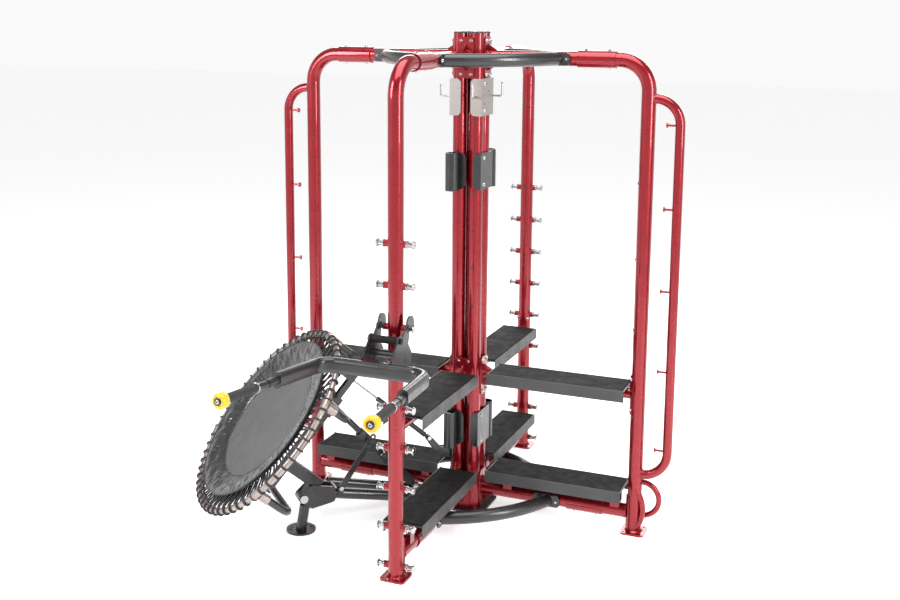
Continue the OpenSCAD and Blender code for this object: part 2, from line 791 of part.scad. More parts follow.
// Spindles that carry the grips and the end wheels
module handle_sockets() {
    color(BLACK) for (side = [-1, 1]) on_arm(side) translate([0, 0, arm_len - 60]) {
        cylinder(h = 66, d = 34 - 2 * gap);
        translate([0, 0, 65 + gap]) cylinder(h = 70, d = 40);
        translate([0, 0, 135]) cylinder(h = 75 - gap, d = 34);
        translate([0, 0, 209]) cylinder(h = collar_l + grip_l + 46, d = 20);
        translate([0, 0, 254 + collar_l + grip_l]) cylinder(h = 6, d = 30);
    }
}

module handle_spacer() {
    color(BLACK) at_front_post() translate([-hook_x + plate_w / 2 + gap, -118, handle_peg_z - 100])
        rotate([0, 90, 0]) cylinder(h = 2 * hook_x - plate_w - 2 * gap, d = 38);
}

module handle_roller() {
    half = hook_x - plate_w / 2 - 1;
    color(RUBBER) at_front_post() translate([0, -122, handle_peg_z - 30]) rotate([0, 90, 0]) {
        translate([0, 0, -half]) cylinder(h = 2 * half, d = 36);
        translate([0, 0, -hook_x - 10]) cylinder(h = 2 * hook_x + 20, r = 8 - 0.05);
        for (side = [0, 180]) rotate([side, 0, 0]) translate([0, 0, hook_x + plate_w / 2 + 1]) cylinder(h = 6, r = 15);
    }
}

// Rubber sleeve with a metal collar, free to turn on its spindle
module grip(side) {
    on_arm(side) translate([0, 0, arm_len + socket_l]) difference() {
        union() {
            color(CHROME) cylinder(h = collar_l, d = grip_d + 6);
            color(RUBBER) translate([0, 0, collar_l]) cylinder(h = grip_l, d = grip_d);
        }
        translate([0, 0, -1]) cylinder(h = collar_l + grip_l + 2, r = 10 + 0.06);
    }
}

module grip_left() { grip(-1); }

module grip_right() { grip(1); }

module end_wheel(side) {
    r = wheel_d / 2;
    color("gold") on_arm(side) translate([0, 0, arm_len + socket_l + collar_l + grip_l + 1.5]) rotate_extrude()
        polygon([[10.06, 0], [r - 9, 0], [r - 2, 6], [r, 12], [r, 40], [r - 2, 46], [r - 8, 50], [20, 50],
            [18, 42], [10.06, 42]]);
}

module end_wheel_left() { end_wheel(-1); }

module end_wheel_right() { end_wheel(1); }

// ---------------------------------------------------------------- rebounder
// In the ring's own frame X points down the slope, Y across and Z out of the mat.

module on_ring() {
    in_quarter() translate([ring_out, 0, ring_z]) rotate([0, ring_slope, 0]) children();
}

hoop_x = 272;
upper_depth = 170;
lower_depth = 220;
hoop_d = 38;
hoop_bend = 80;
clamp_span = 24;
clamp_len = 52;
CLAMP_ANGLES = [60, 120, 180, 240, 300];

module rebounder_ring() {
    color(CHROME) on_ring() rotate_extrude($fn = 144) translate([ring_r, 0]) difference() {
        circle(d = ring_d, $fn = 32);
        circle(d = ring_d - 4, $fn = 32);
    }
}

module rebounder_clamps() {
    color(CHROME) on_ring() for (a = CLAMP_ANGLES) rotate([0, 0, a]) difference() {
        union() {
            rotate([0, 0, -3]) rotate_extrude(angle = 6, $fn = 144) translate([ring_r, 0]) circle(d = ring_d + 12);
            translate([ring_r, 0, -ring_d / 2 - clamp_len]) cylinder(h = clamp_len, d = hoop_d + 10);
        }
        rotate_extrude($fn = 144) translate([ring_r, 0]) circle(d = ring_d + 2 * gap);
        translate([ring_r, 0, -ring_d / 2 - clamp_len - 1]) cylinder(h = clamp_len - 4, d = hoop_d + 2 * gap);
    }
}

// Tube across the ring's back, its ends in the clamps on both sides
module cross_hoop(x, depth) {
    y = ring_r * cos(30);
    top = -ring_d / 2 - 10;
    for (side = [-1, 1]) scale([1, side, 1]) {
        translate([x, y, -depth + hoop_bend]) tube_z(depth - hoop_bend + top, hoop_d, 3);
        translate([x, y - hoop_bend, -depth + hoop_bend]) rotate([90, 0, 90]) rotate([0, 0, -90])
            bend(hoop_bend, 90, hoop_d, 3);
    }
    translate([x, -y + hoop_bend, -depth]) rotate([-90, 0, 0]) tube_z(2 * (y - hoop_bend), hoop_d, 3);
}

module rebounder_hoops() {
    x = ring_r * sin(30);
    color(BLACK) on_ring() {
        cross_hoop(-x, upper_depth);
        cross_hoop(x, lower_depth);
        // Leg at the top of the ring
        translate([-ring_r, 0, -150]) tube_z(150 - ring_d / 2 - 10, hoop_d, 3);
    }
}

// Spine behind the mat, the lever down to the pivot and the bracket for the gas spring
module rebounder_carriage() {
    back = -262;
    px = (pivot[0] - ring_out) * cos(ring_slope) - (pivot[1] - ring_z) * sin(ring_slope);
    pz = (pivot[0] - ring_out) * sin(ring_slope) + (pivot[1] - ring_z) * cos(ring_slope);
    bush_r = 26;
    half_w = 30;
    color(BLACK) on_ring() difference() {
        union() {
            // Spine with a stand to each hoop
            translate([-215, -25, back]) cube([525, 50, 40]);
            // Two cheeks, with the strut's head between them
            for (x = [-314, -215]) translate([x, -46, back]) cube([20, 92, 36]);
            for (side = [-1, 1]) translate([0, side * 42 - 4, 0]) {
                translate([-314, 0, back]) cube([119, 8, 40]);
                translate([-hoop_x - 26, 0, back]) cube([60, 8, -back - upper_depth]);
            }
            translate([-ring_r - 22, -19, -168]) cube([60, 38, 16]);
            translate([-ring_r + 10, -19, back + 4]) cube([30, 38, 100]);
            for (side = [-1, 1]) translate([-ring_r + 10, side * 16 - 3, back + 4]) cube([220, 6, 30]);
            // Lever
            translate([96, -half_w, -470]) cube([64, 2 * half_w, 470 + back + 10]);
            translate([px, half_w, pz]) rotate([90, 0, 0]) cylinder(h = 2 * half_w, r = bush_r);
            translate([130, -half_w, -462]) cube([px - 130, 2 * half_w, 44]);
            // Ears for the gas spring
            for (side = [-1, 1]) translate([-430, side * 16 + 3, -130]) rotate([90, 0, 0]) linear_extrude(6)
                difference() {
                    union() {
                        circle(14);
                        translate([-14, -100]) square([28, 100]);
                    }
                    circle(5);
                }
            translate([-430, 24, -130]) rotate([90, 0, 0]) cylinder(h = 48, r = 6);
        }
        for (x = [-hoop_x, hoop_x]) translate([x > 0 ? ring_r * 0.5 : -ring_r * 0.5, 60,
            x > 0 ? -lower_depth : -upper_depth]) rotate([90, 0, 0]) cylinder(h = 120, d = hoop_d + 2 * gap);
        translate([-ring_r, 0, -152]) cylinder(h = 60, d = hoop_d + 2 * gap);
        translate([px, 60, pz]) rotate([90, 0, 0]) cylinder(h = 120, r = pivot_r + 0.05);
    }
}

// Band of elastic loops between the mat and the ring
module rebounder_bungees() {
    color(BLACK) on_ring() rotate_extrude($fn = 96)
        translate([mat_r + 2, -5]) square([ring_r - ring_d / 2 - mat_r - 10, 10]);
}

module rebounder_mat() {
    color("#5d5e60") on_ring() translate([0, 0, -3]) cylinder(h = 6, r = hem_in - 0.5, $fn = 96);
}

module mat_hem() {
    color(BLACK) on_ring() rotate_extrude($fn = 96)
        polygon([[hem_in, -6], [mat_r, 18], [hem_out, 28], [hem_out, 38], [hem_in + 6, 6], [hem_in, 6]]);
}

// ---------------------------------------------------------------- strut, prop and gas spring

hoop_centre = [ring_out - ring_r * 0.5 * cos(ring_slope) - upper_depth * sin(ring_slope),
    ring_z + ring_r * 0.5 * sin(ring_slope) - upper_depth * cos(ring_slope)];
strut_angle = atan2(hoop_centre[1] - strut_foot[1], hoop_centre[0] - strut_foot[0]);
strut_len = norm(hoop_centre - strut_foot);
spring_top = [ring_out - 430 * cos(ring_slope) - 130 * sin(ring_slope),
    ring_z + 430 * sin(ring_slope) - 130 * cos(ring_slope)];
spring_angle = atan2(spring_top[1] - spring_foot[1], spring_top[0] - spring_foot[0]);
spring_len = norm(spring_top - spring_foot);
track_len = 470;
slider_d = 34;
rail_y = 20.5;
prop_at = 404;

// Places children on the strut's axis, X pointing up the strut from its foot
module on_strut() {
    in_quarter() translate([strut_foot[0], 0, strut_foot[1]]) rotate([0, -strut_angle, 0]) children();
}

module strut_track() {
    color(BLACK) on_strut() difference() {
        union() {
            for (side = [-1, 1]) translate([40, side * rail_y - 3, -22]) cube([track_len - 40, 6, 44]);
            for (x = [46, 225, track_len - 34]) translate([x, -rail_y - 3, -30]) cube([30, 2 * rail_y + 6, 8]);
            translate([30, -rail_y - 3, -22]) cube([44, 2 * rail_y + 6, 44]);
            translate([0, 19.6, 0]) rotate([90, 0, 0]) cylinder(h = 39.2, r = 18);
            translate([0, -19.6, -14]) cube([60, 39.2, 28]);
            translate([prop_at, rail_y + 2, 0]) rotate([-90, 0, 0]) cylinder(h = 31, r = 6);
        }
        translate([0, 40, 0]) rotate([90, 0, 0]) cylinder(h = 80, r = 8 + 0.05);
        for (x = [110 : 40 : 350]) translate([x, 40, 0]) rotate([90, 0, 0]) cylinder(h = 80, r = 6 + run);
    }
}

module strut_slider() {
    seat = strut_len - hoop_d / 2 - 12;
    color(BLACK) on_strut() difference() {
        union() {
            translate([260, 0, 0]) rotate([0, 90, 0]) cylinder(h = seat - 260, d = slider_d);
            translate([seat - 14, -34, -26]) cube([14 + 12, 68, 52]);
        }
        translate([strut_len, 60, 0]) rotate([90, 0, 0]) cylinder(h = 120, r = hoop_d / 2 + 12);
    }
}

// Sprung pull pin with a round knob
module strut_pin() {
    color(CHROME) on_strut() translate([290, 0, 0]) rotate([-90, 0, 0]) {
        translate([0, 0, rail_y + 3 + 1.5]) cylinder(h = 16, r = 9);
        translate([0, 0, rail_y + 3 + 17]) cylinder(h = 14, r = 15);
    }
}

module prop_link() {
    a = prop_foot;
    b = strut_foot + prop_at * [cos(strut_angle), sin(strut_angle)];
    turn = atan2(b[1] - a[1], b[0] - a[0]);
    color(BLACK) in_quarter() translate([0, 48, 0]) {
        translate([a[0], 0, a[1]]) rotate([90, 0, 0]) difference() {
            union() {
                rotate([0, 0, turn]) translate([0, -15]) cube([norm(b - a) + 32, 30, 8]);
                cylinder(h = 8, r = 16);
                rotate([0, 0, turn]) translate([norm(b - a) + 32, 0]) cylinder(h = 8, r = 15);
            }
            // Slot for the strut's stub
            rotate([0, 0, turn]) translate([norm(b - a), 0, -1]) {
                translate([-26, -9]) cube([52, 18, 10]);
                for (end = [-26, 26]) translate([end, 0]) cylinder(h = 10, r = 9);
            }
            translate([0, 0, -1]) cylinder(h = 10, r = 7 + 0.05);
        }
    }
}

module on_spring() {
    in_quarter() translate([spring_foot[0], 0, spring_foot[1]]) rotate([0, -spring_angle, 0]) children();
}

module gas_spring_body() {
    color(BLACK) on_spring() difference() {
        union() {
            translate([0, 8, 0]) rotate([90, 0, 0]) cylinder(h = 16, r = 13);
            translate([8, 0, 0]) rotate([0, 90, 0]) cylinder(h = 22, d = 14);
            translate([28, 0, 0]) rotate([0, 90, 0]) cylinder(h = 372, d = 28);
        }
        translate([0, 20, 0]) rotate([90, 0, 0]) cylinder(h = 40, r = 6 + 0.05);
        translate([120, 0, 0]) rotate([0, 90, 0]) cylinder(h = 400, r = 6 + 0.06);
    }
}

module gas_spring_rod() {
    color(CHROME) on_spring() difference() {
        union() {
            translate([250, 0, 0]) rotate([0, 90, 0]) cylinder(h = spring_len - 250 - 20, r = 6);
            translate([spring_len - 20 - 14, 0, 0]) rotate([0, 90, 0]) cylinder(h = 14, d = 18);
        }
    }
}

column_tubes();
column_caps();
column_spacers();
column_base_plate();
post(3);  // post_front
post(1);  // post_back
post(2);  // post_left
post(0);  // post_right
top_arms();
top_splices();
lower_beams();
lower_splices();
shelf_beams();
column_saddles();
post_saddles();
foot_plates();
top_braces();
lower_braces();
shelf_pans();
shelf_mats();
shelf_stands();
peg_stubs();
peg_spools();
band_loops();
band_pegs();
rope_anchors();
hook_plates();
holder_plates();
hook_rods();
bar_holders();
frame_bolts();
bracket_bolts();
tube_plugs();
rebounder_base();
rebounder_foot();
pivot_gussets();
pivot_pin();
linkage_pins();
handle_plates();
handle_bar();
handle_sockets();
handle_spacer();
handle_roller();
grip_left();
grip_right();
end_wheel_left();
end_wheel_right();
rebounder_ring();
rebounder_hoops();
rebounder_clamps();
rebounder_carriage();
rebounder_bungees();
rebounder_mat();
mat_hem();
strut_track();
strut_slider();
strut_pin();
prop_link();
gas_spring_body();
gas_spring_rod();
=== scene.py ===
"""Four-post training frame with a tilting rebounder and a hook-on dip handle, for Blender 4.5.

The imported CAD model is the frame. This script gives every CAD node a material, models the
rebounder's mat, border and elastic loops, the grips, the wheels and the weld beads, and sets
the camera, the floor and the lights. Metres throughout.
"""
import json
import math

import bmesh
import bpy
from mathutils import Matrix, Vector, noise


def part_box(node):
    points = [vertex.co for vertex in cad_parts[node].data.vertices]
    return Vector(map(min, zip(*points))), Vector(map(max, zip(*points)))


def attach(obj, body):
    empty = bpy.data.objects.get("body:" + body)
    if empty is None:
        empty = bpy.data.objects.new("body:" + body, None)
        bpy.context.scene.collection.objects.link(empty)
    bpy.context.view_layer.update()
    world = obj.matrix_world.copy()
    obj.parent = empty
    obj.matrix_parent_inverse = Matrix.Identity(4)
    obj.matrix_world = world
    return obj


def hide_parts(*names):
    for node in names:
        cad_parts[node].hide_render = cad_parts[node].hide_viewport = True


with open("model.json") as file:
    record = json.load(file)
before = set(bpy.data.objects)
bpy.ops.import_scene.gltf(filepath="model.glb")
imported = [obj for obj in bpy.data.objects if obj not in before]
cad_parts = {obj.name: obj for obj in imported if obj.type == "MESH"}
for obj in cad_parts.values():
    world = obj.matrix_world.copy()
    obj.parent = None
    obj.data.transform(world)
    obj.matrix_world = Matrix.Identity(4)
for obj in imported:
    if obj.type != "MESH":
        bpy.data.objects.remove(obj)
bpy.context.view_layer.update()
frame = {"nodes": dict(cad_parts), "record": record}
NODES = frame["nodes"]
TAU = 2 * math.pi

# ---------------------------------------------------------------- places, from the frame

TUBE_R = 0.038
SIDES = ((0, 0.962), (90, 0.990), (180, 0.962), (270, 0.990))
ARM_Z = 2.528
BASE_BEAM_Z = 0.112
SHELF_BEAM_R = 0.030
SHELF_BEAM_Z = sum(corner[2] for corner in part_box("shelf_beams")) / 2
ARM_START = 0.0932
PEG_Z = 0.062
PEG_PITCH = 0.2032
PEG_COUNT = 9
STUB_R = 0.017
LOOP_R = 0.025
LOOP_Z = (0.331, 2.337)

RING_R = 0.535
RING_TUBE_R = 0.016
RING_SLOPE = math.radians(49.4)
RING_OUT = 1.158
RING_Z = 0.649
MAT_R = 0.430
HEM_IN = 0.336
HEM_OUT = 0.462
HEM_RISE = 0.036
BUNGEE_COUNT = 60
BUNGEE_R = 0.0050

BAR_CENTRE = Vector((0, -1.230, 1.136))
BAR_HALF = 0.268
BAR_SPLAY = math.radians(6)
BAR_RISE = math.radians(3)
GRIP_START = 0.512
COLLAR_LEN = 0.010
GRIP_LEN = 0.205
WHEEL_GAP = 0.0015
GRIP_R = 0.021
WHEEL_R = 0.035
SPINDLE_R = 0.010
SPINDLE_END = 0.777


def turned_z(degrees):
    return Matrix.Rotation(math.radians(degrees), 4, "Z")


QUARTER = turned_z(225)
ON_RING = (QUARTER @ Matrix.Translation((RING_OUT, 0, RING_Z))
           @ Matrix.Rotation(RING_SLOPE, 4, "Y"))


def on_arm(side):
    """From an arm's own frame, Z along the arm from the bar's corner, to the row frame."""
    return (Matrix.Translation(BAR_CENTRE)
            @ Matrix.Rotation(-BAR_RISE, 4, "X") @ turned_z(180)
            @ Matrix.Translation((-side * BAR_HALF, 0, 0))
            @ Matrix.Rotation(side * BAR_SPLAY, 4, "Z")
            @ Matrix.Rotation(math.radians(-90), 4, "X"))


# ---------------------------------------------------------------- materials

class Shader:
    """One material's node tree, with short calls for the nodes used here."""

    def __init__(self, name, color, metallic=0.0, roughness=0.4, **sockets):
        self.material = bpy.data.materials.new(name)
        self.material.use_nodes = True
        self.tree = self.material.node_tree
        self.bsdf = self.tree.nodes["Principled BSDF"]
        self.set("Base Color", (*color, 1.0))
        self.set("Metallic", metallic)
        self.set("Roughness", roughness)
        for socket, value in sockets.items():
            self.set(socket.replace("_", " ").title().replace("Ior", "IOR"), value)
        coords = self.tree.nodes.new("ShaderNodeTexCoord")
        self.coords = coords.outputs["Object"]

    def set(self, socket, value):
        self.bsdf.inputs[socket].default_value = value

    def link(self, output, socket):
        self.tree.links.new(output, socket)

    def stretched(self, x, y, z):
        node = self.tree.nodes.new("ShaderNodeMapping")
        self.link(self.coords, node.inputs["Vector"])
        node.inputs["Scale"].default_value = (x, y, z)
        return node.outputs["Vector"]

    def noise(self, scale, detail=3.0, rough=0.5, distortion=0.0, coords=None):
        node = self.tree.nodes.new("ShaderNodeTexNoise")
        self.link(coords or self.coords, node.inputs["Vector"])
        node.inputs["Scale"].default_value = scale
        node.inputs["Detail"].default_value = detail
        node.inputs["Roughness"].default_value = rough
        node.inputs["Distortion"].default_value = distortion
        return node.outputs["Fac"]

    def cells(self, scale, feature="F1", output="Distance", coords=None):
        node = self.tree.nodes.new("ShaderNodeTexVoronoi")
        node.feature = feature
        self.link(coords or self.coords, node.inputs["Vector"])
        node.inputs["Scale"].default_value = scale
        return node.outputs[output]

    def wave(self, scale, direction, coords=None, distortion=0.0):
        node = self.tree.nodes.new("ShaderNodeTexWave")
        node.bands_direction = direction
        self.link(coords or self.coords, node.inputs["Vector"])
        node.inputs["Scale"].default_value = scale
        node.inputs["Distortion"].default_value = distortion
        return node.outputs["Fac"]

    def remap(self, value, low, high, to_low, to_high):
        node = self.tree.nodes.new("ShaderNodeMapRange")
        self.link(value, node.inputs["Value"])
        for socket, number in zip(("From Min", "From Max", "To Min", "To Max"),
                                  (low, high, to_low, to_high)):
            node.inputs[socket].default_value = number
        return node.outputs["Result"]

    def blend(self, factor, a, b):
        """Mixes two colours, each an RGB tuple or an output, by an output from 0 to 1."""
        node = self.tree.nodes.new("ShaderNodeMix")
        node.data_type = "RGBA"
        self.link(factor, node.inputs["Factor"])
        for value, socket in ((a, node.inputs[6]), (b, node.inputs[7])):
            if isinstance(value, tuple):
                socket.default_value = (*value, 1.0)
            else:
                self.link(value, socket)
        return node.outputs[2]

    def combine(self, operation, a, b):
        node = self.tree.nodes.new("ShaderNodeMath")
        node.operation = operation
        for value, socket in ((a, node.inputs[0]), (b, node.inputs[1])):
            if isinstance(value, (int, float)):
                socket.default_value = value
            else:
                self.link(value, socket)
        return node.outputs[0]

    def color(self, output):
        self.link(output, self.bsdf.inputs["Base Color"])

    def roughness(self, output):
        self.link(output, self.bsdf.inputs["Roughness"])

    def bump(self, height, distance, strength=1.0, below=None):
        node = self.tree.nodes.new("ShaderNodeBump")
        node.inputs["Strength"].default_value = strength
        node.inputs["Distance"].default_value = distance
        self.link(height, node.inputs["Height"])
        if below:
            self.link(below, node.inputs["Normal"])
        self.link(node.outputs["Normal"], self.bsdf.inputs["Normal"])
        return node.outputs["Normal"]


def scuffed(shader, plain, scuff, amount=0.35):
    """Colour with small worn marks gathered in patches."""
    patches = shader.remap(shader.noise(5.0, 4.0, 0.6), 0.52, 0.68, 0.0, 1.0)
    marks = shader.remap(shader.noise(160.0, 3.0, 0.7, 1.5), 0.60, 0.70, 0.0, amount)
    return shader.blend(shader.combine("MULTIPLY", patches, marks), plain, scuff)


def candy_red():
    s = Shader("candy_red_coat", (0.40, 0.003, 0.012), 0.62, 0.24,
               coat_weight=0.75, coat_roughness=0.045, coat_ior=1.45)
    tone = s.blend(s.noise(2.2, 2.0), (0.225, 0.0010, 0.0062), (0.275, 0.0016, 0.0085))
    flakes = s.remap(s.cells(1500.0, output="Color"), 0.2, 0.9, 0.0, 0.10)
    tone = s.blend(flakes, tone, (0.50, 0.02, 0.04))
    s.color(scuffed(s, tone, (0.12, 0.003, 0.008), 0.2))
    s.roughness(s.remap(s.noise(9.0, 4.0), 0.3, 0.7, 0.20, 0.34))
    s.bump(s.noise(240.0, 2.0), 0.00006, 0.6)
    return s.material


def black_powder_coat():
    s = Shader("black_powder_coat", (0.016, 0.016, 0.018), 0.0, 0.32,
               coat_weight=0.35, coat_roughness=0.16)
    tone = s.blend(s.noise(3.0, 3.0), (0.008, 0.008, 0.009), (0.015, 0.015, 0.016))
    s.color(scuffed(s, tone, (0.11, 0.105, 0.10)))
    s.roughness(s.remap(s.noise(12.0, 5.0), 0.3, 0.7, 0.24, 0.42))
    grain = s.bump(s.noise(900.0, 2.0), 0.00008, 0.5)
    s.bump(s.noise(190.0, 1.0), 0.00012, 0.5, grain)
    return s.material


def shelf_coat():
    s = Shader("shelf_textured_coat", (0.045, 0.045, 0.047), 0.0, 0.5)
    tone = s.blend(s.noise(6.0, 4.0), (0.034, 0.034, 0.036), (0.058, 0.057, 0.056))
    s.color(scuffed(s, tone, (0.20, 0.195, 0.19), 0.4))
    s.roughness(s.remap(s.noise(14.0, 4.0), 0.3, 0.7, 0.40, 0.58))
    s.bump(s.noise(1100.0, 2.0), 0.00014, 0.6)
    return s.material


def shelf_rubber():
    s = Shader("shelf_rubber", (0.012, 0.012, 0.013), 0.0, 0.78)
    s.set("Specular IOR Level", 0.2)
    crumbs = s.cells(420.0)
    tone = s.blend(s.noise(7.0, 5.0, 0.65), (0.006, 0.006, 0.006), (0.015, 0.0145, 0.0145))
    s.color(scuffed(s, tone, (0.040, 0.038, 0.037), 0.5))
    s.roughness(s.remap(s.noise(20.0, 4.0), 0.3, 0.7, 0.66, 0.86))
    s.bump(crumbs, 0.00035, 0.7)
    return s.material


def chrome():
    s = Shader("chrome_plate", (0.48, 0.475, 0.48), 1.0, 0.12)
    s.color(s.blend(s.noise(30.0, 3.0), (0.40, 0.395, 0.40), (0.56, 0.555, 0.56)))
    s.roughness(s.remap(s.noise(70.0, 5.0, 0.6), 0.35, 0.75, 0.07, 0.26))
    s.bump(s.noise(650.0, 2.0), 0.00003, 0.4)
    return s.material


def brushed_stainless():
    s = Shader("brushed_stainless", (0.62, 0.60, 0.58), 1.0, 0.32, anisotropic=0.4)
    lines = s.noise(60.0, 4.0, 0.6, 0.0, s.stretched(1.0, 1.0, 26.0))
    s.color(s.blend(lines, (0.36, 0.325, 0.305), (0.50, 0.455, 0.43)))
    s.roughness(s.remap(lines, 0.3, 0.7, 0.24, 0.42))
    s.bump(lines, 0.00008, 0.5)
    return s.material


def grip_rubber():
    s = Shader("grip_rubber", (0.013, 0.013, 0.014), 0.0, 0.62)
    s.color(s.blend(s.noise(45.0, 4.0), (0.009, 0.009, 0.010), (0.026, 0.025, 0.025)))
    s.roughness(s.remap(s.noise(60.0, 3.0), 0.3, 0.7, 0.52, 0.74))
    s.bump(s.cells(1400.0), 0.00012, 0.5)
    return s.material


def moulded_plastic():
    s = Shader("moulded_plastic", (0.016, 0.016, 0.017), 0.0, 0.48)
    s.color(s.blend(s.noise(30.0, 3.0), (0.012, 0.012, 0.013), (0.026, 0.026, 0.027)))
    s.roughness(s.remap(s.noise(40.0, 3.0), 0.3, 0.7, 0.40, 0.56))
    s.bump(s.noise(1800.0, 2.0), 0.00008, 0.5)
    return s.material


def yellow_urethane():
    s = Shader("yellow_urethane", (0.92, 0.62, 0.008), 0.0, 0.36,
               subsurface_weight=0.08, coat_weight=0.25, coat_roughness=0.2)
    tone = s.blend(s.noise(40.0, 3.0), (0.72, 0.40, 0.003), (0.84, 0.50, 0.006))
    s.color(scuffed(s, tone, (0.42, 0.27, 0.02), 0.4))
    s.roughness(s.remap(s.noise(60.0, 4.0), 0.3, 0.7, 0.28, 0.46))
    s.bump(s.noise(500.0, 2.0), 0.00008, 0.5)
    return s.material


def ring_zinc():
    s = Shader("ring_zinc", (0.58, 0.53, 0.50), 0.75, 0.34)
    s.color(s.blend(s.noise(18.0, 5.0, 0.6), (0.27, 0.225, 0.205), (0.42, 0.36, 0.335)))
    s.roughness(s.remap(s.noise(35.0, 4.0), 0.3, 0.7, 0.26, 0.44))
    s.bump(s.noise(420.0, 3.0), 0.00006, 0.5)
    return s.material


def woven_mat():
    s = Shader("woven_mat", (0.062, 0.062, 0.064), 0.0, 0.62)
    s.set("Sheen Weight", 0.25)
    s.set("Sheen Roughness", 0.5)
    ring_space = s.tree.nodes.new("ShaderNodeMapping")
    s.link(s.coords, ring_space.inputs["Vector"])
    ring_space.vector_type = "TEXTURE"
    ring_space.inputs["Rotation"].default_value = ON_RING.to_euler()
    across = s.wave(150.0, "X", ring_space.outputs["Vector"])
    along = s.wave(150.0, "Y", ring_space.outputs["Vector"])
    weave = s.combine("MULTIPLY", across, along)
    worn = s.remap(s.noise(4.0, 4.0, 0.6), 0.35, 0.7, 0.0, 1.0)
    tone = s.blend(worn, (0.050, 0.050, 0.052), (0.078, 0.078, 0.079))
    tone = s.blend(s.remap(weave, 0.0, 1.0, 0.35, 0.0), tone, (0.018, 0.018, 0.019))
    s.color(tone)
    s.roughness(s.remap(s.noise(10.0, 3.0), 0.3, 0.7, 0.54, 0.72))
    s.bump(weave, 0.0004, 0.6)
    return s.material


def border_vinyl():
    s = Shader("border_vinyl", (0.022, 0.022, 0.024), 0.0, 0.22,
               coat_weight=0.8, coat_roughness=0.10)
    s.color(s.blend(s.noise(14.0, 5.0, 0.6), (0.014, 0.014, 0.016), (0.034, 0.034, 0.036)))
    s.roughness(s.remap(s.noise(26.0, 4.0), 0.3, 0.7, 0.18, 0.36))
    creases = s.bump(s.noise(34.0, 6.0, 0.6, 1.2), 0.0032, 0.55)
    s.bump(s.cells(900.0), 0.00008, 0.4, creases)
    return s.material


def bungee_braid():
    s = Shader("bungee_braid", (0.014, 0.014, 0.015), 0.0, 0.58)
    s.set("Sheen Weight", 0.2)
    braid = s.combine("MULTIPLY", s.wave(260.0, "DIAGONAL"),
                      s.wave(260.0, "X", s.stretched(-1.0, 1.0, 1.0)))
    s.color(s.blend(braid, (0.008, 0.008, 0.009), (0.032, 0.032, 0.033)))
    s.roughness(s.remap(braid, 0.0, 1.0, 0.62, 0.46))
    s.bump(braid, 0.0003, 0.6)
    return s.material


def thread():
    s = Shader("grey_thread", (0.24, 0.24, 0.24), 0.0, 0.7)
    s.color(s.blend(s.noise(800.0, 2.0), (0.16, 0.16, 0.16), (0.30, 0.30, 0.30)))
    s.bump(s.wave(900.0, "DIAGONAL"), 0.0002, 0.6)
    return s.material


def weld_red():
    s = Shader("weld_red_coat", (0.42, 0.006, 0.018), 0.40, 0.32,
               coat_weight=1.0, coat_roughness=0.06)
    s.color(s.blend(s.noise(90.0, 3.0), (0.23, 0.0015, 0.0075), (0.30, 0.0025, 0.0105)))
    s.bump(s.noise(500.0, 3.0), 0.0002, 0.6)
    return s.material


RED = candy_red()
BLACK = black_powder_coat()
CHROME = chrome()
GRIP = grip_rubber()
YELLOW = yellow_urethane()
PLASTIC = moulded_plastic()
MAT = woven_mat()
VINYL = border_vinyl()
BRAID = bungee_braid()
THREAD = thread()
WELD_RED = weld_red()
SLOTS = {
    "red_coat": RED, "black_coat": BLACK, "shelf_steel": shelf_coat(), "chrome": CHROME,
    "stainless": brushed_stainless(), "rubber": shelf_rubber(), "black_plastic": PLASTIC,
    "yellow_plastic": YELLOW, "ring_steel": ring_zinc(), "mat_fabric": MAT,
    "hem_vinyl": VINYL, "bungee": BRAID,
}
for part in frame["record"]["subparts"]:
    node_object = NODES[part["node"]]
    for index in range(len(node_object.material_slots)):
        node_object.material_slots[index].material = SLOTS[part["material_slot"]]


# ---------------------------------------------------------------- mesh tools

def add_object(name, bm, material, matrix, body, smooth=True):
    """Turns a bmesh, drawn in its own frame, into a piece that rides on a body."""
    bm.transform(matrix)
    bmesh.ops.recalc_face_normals(bm, faces=bm.faces)
    mesh = bpy.data.meshes.new(name)
    bm.to_mesh(mesh)
    bm.free()
    for polygon in mesh.polygons:
        polygon.use_smooth = smooth
    mesh.materials.append(material)
    obj = bpy.data.objects.new(name, mesh)
    bpy.context.scene.collection.objects.link(obj)
    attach(obj, body)
    return obj


def lathe(profile, segments=64):
    """Closed turned form about Z from a list of (radius, height); the profile's ends meet."""
    bm = bmesh.new()
    rings = []
    for step in range(segments):
        a = TAU * step / segments
        rings.append([bm.verts.new((r * math.cos(a), r * math.sin(a), z)) for r, z in profile])
    count = len(profile)
    for step in range(segments):
        here, there = rings[step], rings[(step + 1) % segments]
        for i in range(count):
            j = (i + 1) % count
            bm.faces.new((here[i], there[i], there[j], here[j]))
    return bm


def rounded(profile, radius, steps=4):
    """The same outline with each corner turned into a short arc of straight steps."""
    out = []
    count = len(profile)
    for i, (r, z) in enumerate(profile):
        corner = Vector((r, z))
        before = Vector(profile[i - 1]) - corner
        after = Vector(profile[(i + 1) % count]) - corner
        size = min(radius, before.length * 0.45, after.length * 0.45)
        a, b = corner + before.normalized() * size, corner + after.normalized() * size
        for k in range(steps + 1):
            t = k / steps
            point = a.lerp(corner, t).lerp(corner.lerp(b, t), t)
            out.append((point.x, point.y))
    return out


def add_loop(bm, point, along, side, radius, sides):
    """Ring of points round a line's direction; side is the way to the first one."""
    other = along.cross(side)
    return [bm.verts.new(point + radius * (math.cos(TAU * k / sides) * side
                                           + math.sin(TAU * k / sides) * other))
            for k in range(sides)]


